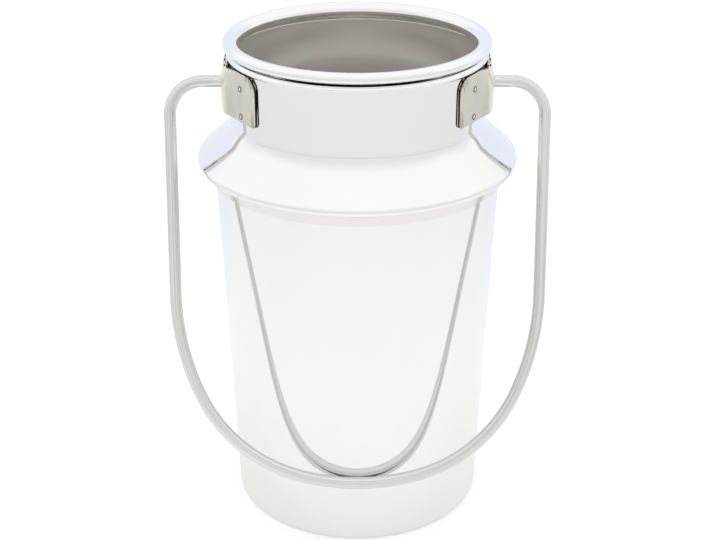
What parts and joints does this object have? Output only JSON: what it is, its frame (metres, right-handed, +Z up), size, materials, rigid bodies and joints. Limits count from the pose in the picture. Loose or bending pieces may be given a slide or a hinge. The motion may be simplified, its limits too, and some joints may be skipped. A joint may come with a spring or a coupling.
{
  "type": "milk can",
  "caption": "Lidless stainless steel milk can: tapered body, lapped shoulder, straight neck with rolled rim, and a round-rod bail hinged in welded strap ears.",
  "frame": {"origin": "on the can's axis, at the level of the flat ring it stands on", "axes": "+Z up along the can's axis, the bail hangs on the -Y side, the ears are on the -X and +X sides"},
  "size_m": [0.1912, 0.16, 0.2511],
  "materials": {
    "polished_shell": "mirror polished stainless sheet, spun and pressed",
    "satin_ear": "satin stainless strip, pressed and spot welded",
    "drawn_rod": "bright drawn stainless rod, bent cold"
  },
  "bodies": {
    "can": {"can_body": "polished_shell", "shoulder": "polished_shell", "neck": "polished_shell", "ear_left": "satin_ear", "ear_right": "satin_ear"},
    "handle": {"bail": "drawn_rod"}
  },
  "joints": [
    {"name": "bail_swing", "type": "hinge", "parent": "can", "child": "handle", "pos_m": [0, 0, 0.22754], "axis": [-1, 0, 0], "range_deg": [0, 319]}
  ]
}
